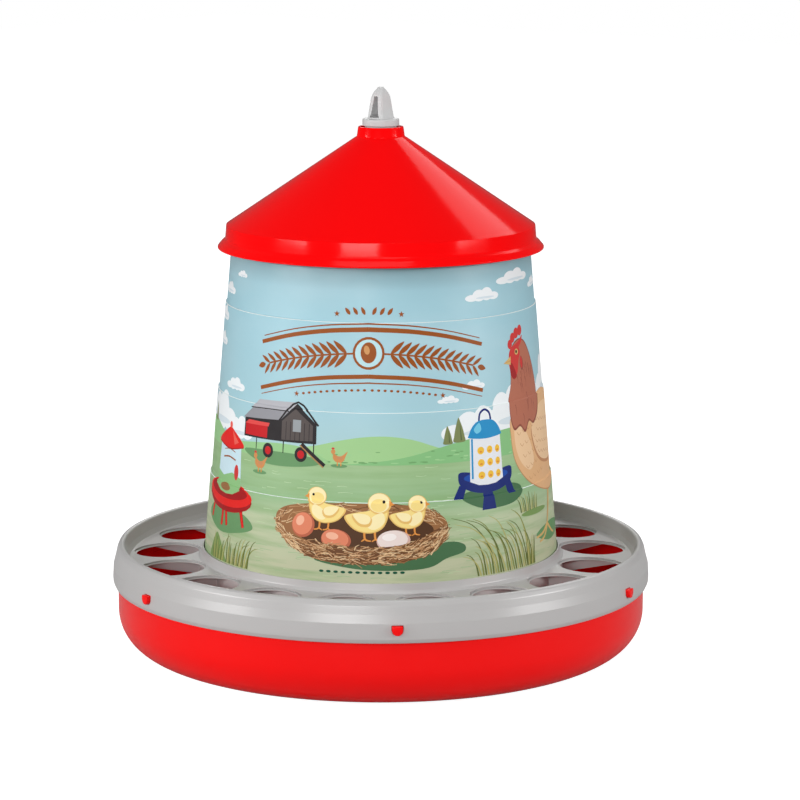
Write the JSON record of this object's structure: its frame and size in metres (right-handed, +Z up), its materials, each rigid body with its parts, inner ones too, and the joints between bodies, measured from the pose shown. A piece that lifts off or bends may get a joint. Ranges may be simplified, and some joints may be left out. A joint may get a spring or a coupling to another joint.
{
  "type": "gravity poultry feeder",
  "caption": "Hanging gravity feeder for hens: round tray, anti-waste ring with head openings, tapered hopper, lift-off cone lid and hanging eye.",
  "frame": {"origin": "centre of the tray's foot, on the surface that the feeder stands on", "axes": "+Z up along the hanging rod; the slot of the hanging eye runs along Y; the printed front and one snap tab look halfway between +X and -Y"},
  "size_m": [0.42, 0.42, 0.438],
  "materials": {
    "red_plastic": "glossy moulded",
    "grey_plastic": "satin moulded",
    "printed_hopper": "printed meadow scene under satin film",
    "zinc_steel": "zinc plated"
  },
  "bodies": {
    "base": {"tray": "red_plastic", "anti_waste_ring": "grey_plastic", "hanger_rod": "zinc_steel", "lower_washer": "zinc_steel", "lower_nut": "zinc_steel", "upper_washer": "zinc_steel", "upper_nut": "zinc_steel", "hanging_eye": "grey_plastic", "eye_lock_nut": "zinc_steel"},
    "hopper": {"hopper": "printed_hopper", "hopper_bridge": "grey_plastic", "bridge_screw_1": "zinc_steel", "bridge_screw_2": "zinc_steel", "bridge_screw_3": "zinc_steel"},
    "adjuster": {"feed_adjuster_nut": "red_plastic", "adjuster_clip": "zinc_steel"},
    "lid": {"lid": "red_plastic"},
    "snap_tab_1": {"snap_tab_1": "red_plastic"},
    "snap_tab_2": {"snap_tab_2": "red_plastic"},
    "snap_tab_3": {"snap_tab_3": "red_plastic"},
    "snap_tab_4": {"snap_tab_4": "red_plastic"},
    "snap_tab_5": {"snap_tab_5": "red_plastic"},
    "snap_tab_6": {"snap_tab_6": "red_plastic"}
  },
  "joints": [
    {"name": "feed_gap", "type": "slide", "parent": "base", "child": "hopper", "axis": [0, 0, 1], "range_m": [-0.02, 0]},
    {"name": "adjuster_spin", "type": "hinge", "parent": "hopper", "child": "adjuster", "pos_m": [0, 0, 0.33], "axis": [0, 0, 1], "range_deg": [-1440, 0]},
    {"name": "lid_lift", "type": "slide", "parent": "hopper", "child": "lid", "axis": [0, 0, 1], "range_m": [0, 0.13]},
    {"name": "tab_push_1", "type": "slide", "parent": "base", "child": "snap_tab_1", "axis": [-0.7071, 0.7071, 0], "range_m": [0, 0.0063], "stiffness_N_per_m": 900},
    {"name": "tab_push_2", "type": "slide", "parent": "base", "child": "snap_tab_2", "axis": [-0.9659, -0.2588, 0], "range_m": [0, 0.0063], "stiffness_N_per_m": 900},
    {"name": "tab_push_3", "type": "slide", "parent": "base", "child": "snap_tab_3", "axis": [-0.2588, -0.9659, 0], "range_m": [0, 0.0063], "stiffness_N_per_m": 900},
    {"name": "tab_push_4", "type": "slide", "parent": "base", "child": "snap_tab_4", "axis": [0.7071, -0.7071, 0], "range_m": [0, 0.0063], "stiffness_N_per_m": 900},
    {"name": "tab_push_5", "type": "slide", "parent": "base", "child": "snap_tab_5", "axis": [0.9659, 0.2588, 0], "range_m": [0, 0.0063], "stiffness_N_per_m": 900},
    {"name": "tab_push_6", "type": "slide", "parent": "base", "child": "snap_tab_6", "axis": [0.2588, 0.9659, 0], "range_m": [0, 0.0063], "stiffness_N_per_m": 900}
  ],
  "couplings": [
    {"joint": "adjuster_spin", "follows": "feed_gap", "rad_per_m": 1256.6}
  ]
}
